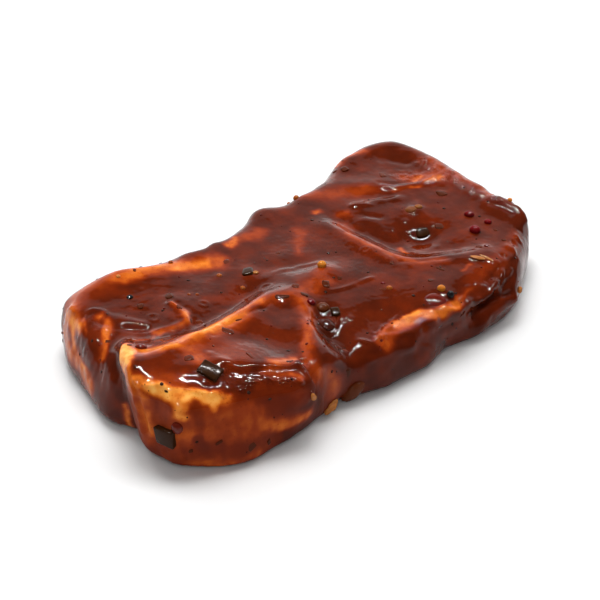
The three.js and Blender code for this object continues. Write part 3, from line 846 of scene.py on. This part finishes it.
bm = handful()
for place, width, lift, covered in SEEDS:
    tint(bm, ball(bm, place, 0, (width, 0.95 * width, 0.9 * width), lift, 20, 12), covered)
seeds = join("mustard_seeds", bm)
shader, wire = finish("mustard_seed", seeds)
wire.feed(shader["Base Color"], two_tone(wire, (0.6, 0.2, 0.02), (0.24, 0.045, 0.008)))
wire.feed(shader["Roughness"], 0.12 + mottle(wire, 0.6) * 0.1)
shader["IOR"].default_value = 1.18
shader["Subsurface Weight"].default_value = 0.2
shader["Subsurface Radius"].default_value = (1, 0.4, 0.1)
shader["Subsurface Scale"].default_value = 0.6 * MM

# Pink pepper. Wine-red berries and bits of their skin, a little flattened, stuck in the marinade on the
# broad end and towards the notch.
BERRIES = [  # place, turn, length, width, height, lift
    ((54.3, -14.2, 16), 0, 3.4, 3.1, 2.6, 0.35),
    ((58.9, -6.4, 16.2), -0.1, 3.1, 2.5, 2, 0.2),
    ((60.7, -12.9, 15.7), 0.1, 2.3, 2.1, 1.6, 0.2),
    ((50.8, -23.5, 16.5), 0.1, 1.5, 1.1, 0.6, 0.05),
    ((13.1, -20.8, 17.1), 0, 1.4, 0.9, 0.5, 0.05),
    ((-10.6, -18.1, 18.9), 0.2, 2.6, 2.4, 1.6, 0.15),
]
bm = handful()
for place, turn, length, width, height, lift in BERRIES:
    tint(bm, ball(bm, place, turn, (length, width, height), lift, 20, 12), dice.random())
berries = join("pink_pepper", bm)
shader, wire = finish("pink_pepper", berries)
wire.feed(shader["Base Color"], two_tone(wire, (0.15, 0.004, 0.005), (0.09, 0.004, 0.003)))
shader["Roughness"].default_value = 0.12
shader["IOR"].default_value = 1.21

# Peppercorns. Two small black ones on the marinade, and a large soaked brown one that sits in the notch
# with marinade drawn up round it. Their skins are wrinkled.
CORNS = [  # place, width, height, lift, how far soaked
    ((-12.8, -26.6, 15.2), 5, 2.6, -0.2, 1),
    ((25.4, -36.2, 15.5), 2.3, 2, 0.5, 0),
    ((-49.1, 15.7, 18.5), 1.9, 1, 0.1, 0),
]
bm = handful()
for place, width, height, lift, soaked in CORNS:
    tint(bm, ball(bm, place, 0, (width, width, height), lift, 24, 14), soaked)
corns = join("peppercorns", bm)
shader, wire = finish("peppercorn", corns)
wire.feed(shader["Base Color"], two_tone(wire, (0.008, 0.007, 0.007), (0.05, 0.008, 0.003)))
wire.feed(shader["Roughness"], 0.04 + mottle(wire, 0.5) * 0.06)
shader["IOR"].default_value = 1.28
wrinkles = mottle(wire, 1.5, 1.0) * 0.5
wire.feed(shader["Normal"], wire.node("ShaderNodeBump", {}, {"Height": wrinkles, "Distance": MM}))

# Scraps of onion and fat. Soft translucent lumps, tan, and brown where they are soaked. They stick to
# the top and the walls, and the two largest lie at the foot of the front wall.
SCRAPS = [  # place, turn, length, width, height, lift, how far covered
    ((43.6, -27.6, 16.9), -0.2, 4.4, 1.4, 0.6, 0.05, 0.35),
    ((46.2, -28.8, 16.8), -0.45, 4.4, 1.2, 0.6, 0, 0.45),
    ((46.4, 5.4, 16.4), 0.2, 3.6, 3.4, 1.4, 0, 0.9),
    ((48.8, 5.4, 16.6), 0, 2.4, 2.2, 1.2, 0.1, 0.7),
    ((-8.8, -21, 17.6), 0.3, 3.8, 3.4, 2.2, 0.1, 1),
    ((-14.8, -42, 3.6), -0.95, 4.8, 8, 3.2, -0.2, 1),
    ((-23.4, -43, 2.4), 0, 5, 3.4, 2.6, 0, 0.35),
    ((-45.4, 25.8, 18), 0, 1.3, 1.2, 0.8, 0.1, 0),
    ((-13.4, 4.6, 18.2), 0.2, 1.8, 1.4, 0.8, 0.1, 0.4),
    ((-34, -48.3, 13.2), 0.4, 1.7, 3, 1.4, 0.2, 0.3),
    ((52.6, -37, 7.2), 0, 1.8, 1.8, 1.4, 0.3, 0.3),
]
bm = handful()
for place, turn, length, width, height, lift, covered in SCRAPS:
    stand = seat(place, turn, lift) @ Matrix.Diagonal((length / 2, width / 2, height / 2, 1))
    made = bmesh.ops.create_icosphere(bm, subdivisions=4, radius=MM, matrix=stand)["verts"]
    for vert in made:
        push = noise.noise(vert.co / (1.2 * MM)) * (0.3 - 0.2 * covered) * min(width, height) * MM
        vert.co += (vert.co - stand.translation).normalized() * push
    tint(bm, made, covered)
scraps = join("onion_scraps", bm)
shader, wire = finish("soaked_onion", scraps)
wire.feed(shader["Base Color"], two_tone(wire, (0.52, 0.2, 0.05), (0.1, 0.021, 0.005)))
wire.feed(shader["Roughness"], 0.06 + mottle(wire, 0.7) * 0.1)
shader["IOR"].default_value = 1.18
shader["Subsurface Weight"].default_value = 0.3
shader["Subsurface Radius"].default_value = (1, 0.5, 0.2)
shader["Subsurface Scale"].default_value = MM

# Beads of thick marinade. Deep red drops that stand on the slice: three large ones, and small ones
# strewn over the top and the walls.
BEADS = 60
DROPS = [  # place, turn, length, width, height, lift
    ((-65, -12.5, 23.2), 0.3, 3.4, 3, 2, 0.1),
    ((-71.7, -38.8, 14.4), 0.2, 3.2, 3.6, 2.2, 0),
    ((20.4, -35.6, 16), 0.3, 6.4, 5.4, 1.7, -0.3),
]
bm = handful()
for place, turn, length, width, height, lift in DROPS:
    ball(bm, place, turn, (length, width, height), lift, 32, 18)
for _ in range(BEADS):
    place = anchors[top_points[dice.randrange(len(top_points))]]
    size = dice.uniform(0.4, 0.9)
    ball(bm, place, 0, (size, size, size * 0.7), 0, 10, 6)
drops = join("marinade_drops", bm)
shader, wire = finish("marinade_drop", drops)
shader["Base Color"].default_value = (0.11, 0.009, 0.003, 1)
shader["Roughness"].default_value = 0.05
shader["IOR"].default_value = 1.3

# Floor. A plain pale matte sheet, just under the slice. It isn't part of the object.
FLOOR_SIZE = 6
FLOOR_DROP = 0.0002
bpy.ops.mesh.primitive_plane_add(size=FLOOR_SIZE)
floor = bpy.context.object
floor.name = "floor"
floor.location.z = -FLOOR_DROP
shader, wire = finish("floor", floor)
shader["Base Color"].default_value = (0.74, 0.74, 0.74, 1)
shader["Roughness"].default_value = 0.7
shader["Specular IOR Level"].default_value = 0.1

# Camera. A long lens at the front left, looking down on the slice. Places are in metres.
LENS = 135.5
SENSOR_WIDTH = 36
AZIMUTH, ELEVATION, DISTANCE = math.radians(-38), math.radians(33), 0.655
AIM = Vector((-0.00317, -0.0033, 0.009))
camera = bpy.data.objects.new("camera", bpy.data.cameras.new("camera"))
back = Vector((
    math.sin(AZIMUTH) * math.cos(ELEVATION),
    -math.cos(AZIMUTH) * math.cos(ELEVATION),
    math.sin(ELEVATION),
))
camera.location = AIM + DISTANCE * back
camera.rotation_euler = back.to_track_quat("Z", "Y").to_euler()
camera.data.lens = LENS
camera.data.sensor_width = SENSOR_WIDTH
scene.collection.objects.link(camera)
scene.camera = camera
scene.view_settings.view_transform = "Standard"

# Light. A pale sweep stands behind the slice, which mirrors it. Soft boxes round it light it without a
# mirror image, and small bright lamps show only as glints in the wet marinade.
world = bpy.data.worlds.new("world")
world.use_nodes = True
sky = world.node_tree.nodes["Background"].inputs
sky["Color"].default_value = (1, 1, 1, 1)
sky["Strength"].default_value = 0.1
scene.world = world


def placed(away, across, up):
    """A place that far behind the slice, to its right and above it, as the camera sees it."""
    behind = Vector((-math.sin(AZIMUTH), math.cos(AZIMUTH), 0))
    right = Vector((math.cos(AZIMUTH), math.sin(AZIMUTH), 0))
    return away * behind + across * right + Vector((0, 0, up))


def softbox(name, at, size, glow, aim=(0, 0, 0), tall=None, turn=None, mirrored=True, lights=True):
    """A lit panel whose face has that glow. It may light without a mirror image, or only mirror."""
    data = bpy.data.lights.new(name, "AREA")
    data.shape = "RECTANGLE" if tall else "DISK"
    data.size = size
    area = math.pi * size * size / 4
    if tall:
        data.size_y = tall
        area = size * tall
    data.energy = glow * math.pi * area
    panel = bpy.data.objects.new(name, data)
    panel.location = at
    panel.rotation_euler = (Vector(aim) - Vector(at)).to_track_quat("-Z", "Y").to_euler()
    if turn is not None:
        panel.rotation_euler.z = turn
    panel.visible_diffuse = lights
    panel.visible_glossy = mirrored
    scene.collection.objects.link(panel)


# The sweep, in three bands: the height of its middle, its own height and its glow.
for name, up, tall, glow in (
    ("backdrop", 0.14, 0.28, 1.5),
    ("sweep_low", 0.47, 0.38, 0.95),
    ("sweep_high", 0.95, 0.58, 0.75),
):
    softbox(name, placed(1.3, 0, up), 2.8, glow, AIM + Vector((0, 0, up)), tall=tall)
softbox("window_left", placed(0.8, -0.45, 1), 0.8, 4.4, mirrored=False)
softbox("window_right", placed(0.39, 0.62, 1.13), 0.6, 5, mirrored=False)
softbox("fill_front", placed(-1, 0, 0.85), 0.9, 2.2, mirrored=False)
softbox("fill_left", placed(0.3, -0.75, 0.9), 0.8, 1.4, mirrored=False)
softbox("key", placed(0.42, 0, 1.26), 0.7, 11.5, mirrored=False)
softbox("strobe_left", placed(-0.72, -0.4, 1.06), 0.05, 1000, lights=False)
softbox("strobe_right", placed(0.39, 0.62, 1.13), 0.05, 1400, lights=False)
softbox("strip", placed(0.42, 0, 1.26), 1.1, 700, tall=0.018, turn=AZIMUTH, lights=False)
